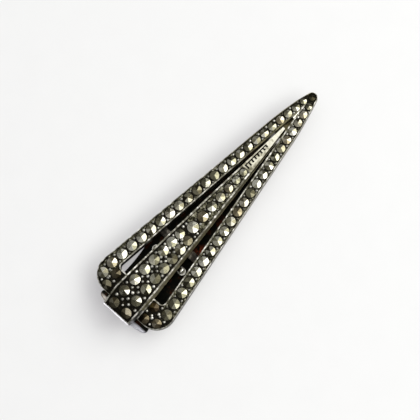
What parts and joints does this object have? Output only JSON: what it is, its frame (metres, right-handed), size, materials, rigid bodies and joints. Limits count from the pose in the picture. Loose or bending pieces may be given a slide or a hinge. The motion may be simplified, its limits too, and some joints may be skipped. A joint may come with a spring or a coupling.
{
  "type": "clip brooch",
  "caption": "Long tapered clip brooch: an openwork frame and a raised centre wedge set with small faceted stones, with a sprung hinged clip lever along its back.",
  "frame": {"origin": "middle of the outline seen from the front, on the surface that the brooch lies on, under its clip lever", "axes": "+Z out of the jewelled front, +Y along the brooch towards its pointed tip, +X to the right arm seen from the front"},
  "size_m": [0.0176, 0.057, 0.0085],
  "materials": {
    "set_silver": "polished rims and beads, blackened recesses",
    "bright_silver": "plain polished",
    "back_silver": "tarnished, satin",
    "lever_silver": "satin outside, tarnished inside",
    "spring_steel": "drawn wire, dull",
    "marcasite": "faceted and polished, metallic"
  },
  "bodies": {
    "setting": {"arm_frame": "set_silver", "centre_wedge": "set_silver", "end_wall": "bright_silver", "stones_left_arm": "marcasite", "stones_right_arm": "marcasite", "stones_left_corner": "marcasite", "stones_right_corner": "marcasite", "stone_tip": "marcasite", "stones_wedge_left": "marcasite", "stones_wedge_right": "marcasite", "stones_wedge_single": "marcasite", "rear_bar": "back_silver", "front_bar": "back_silver", "tip_backing": "back_silver", "hinge_bracket": "back_silver", "hinge_pin": "spring_steel", "pin_ball_left": "bright_silver", "pin_ball_right": "bright_silver", "torsion_spring": "spring_steel"},
    "clip": {"clip_lever": "lever_silver", "jaw_comb": "lever_silver"}
  },
  "joints": [
    {"name": "clip_hinge", "type": "hinge", "parent": "setting", "child": "clip", "pos_m": [0, -0.0139, 0.0021], "axis": [-1, 0, 0], "range_deg": [0, 12], "stiffness_Nm_per_rad": 0.08, "springref_deg": -28.65, "deforming": ["torsion_spring"]}
  ]
}
